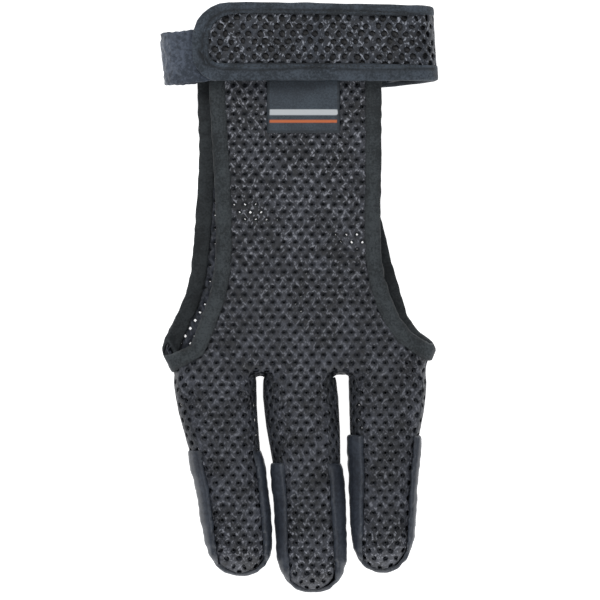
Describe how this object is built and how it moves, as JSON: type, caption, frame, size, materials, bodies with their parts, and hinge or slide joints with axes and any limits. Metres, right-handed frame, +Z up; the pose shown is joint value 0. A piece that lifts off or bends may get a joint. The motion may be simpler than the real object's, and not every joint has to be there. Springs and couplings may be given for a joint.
{
  "type": "archery glove",
  "caption": "Archery finger glove with a mesh back and palm, smooth finger patches, bound open sides and a hook-and-loop wrist strap, lying palm down.",
  "frame": {"origin": "middle of the footprint, on the surface that the glove lies on", "axes": "+Y from the fingertips to the wrist, +Z up through the back of the hand, +X towards the index finger"},
  "size_m": [0.1184, 0.2492, 0.0241],
  "materials": {
    "back_mesh": "open spacer mesh, slightly shiny yarn",
    "palm_mesh": "open spacer mesh, slightly shiny yarn",
    "patch_leather": "smooth, fine grain",
    "edge_tape": "matt woven tape",
    "strap_mesh": "open spacer mesh, slightly shiny yarn",
    "strap_tape": "matt woven tape",
    "loop_fabric": "brushed loop pile",
    "hook_fabric": "stiff hook tape",
    "label_cloth": "woven label"
  },
  "bodies": {
    "root": {"back_panel": "back_mesh", "palm_panel": "palm_mesh", "ring_patch": "patch_leather", "middle_patch": "patch_leather", "index_patch": "patch_leather", "binding_left": "edge_tape", "binding_right": "edge_tape", "strap_mesh": "strap_mesh", "strap_binding": "strap_tape", "loop_strap": "loop_fabric", "hook_pad": "hook_fabric", "label": "label_cloth"}
  },
  "joints": []
}
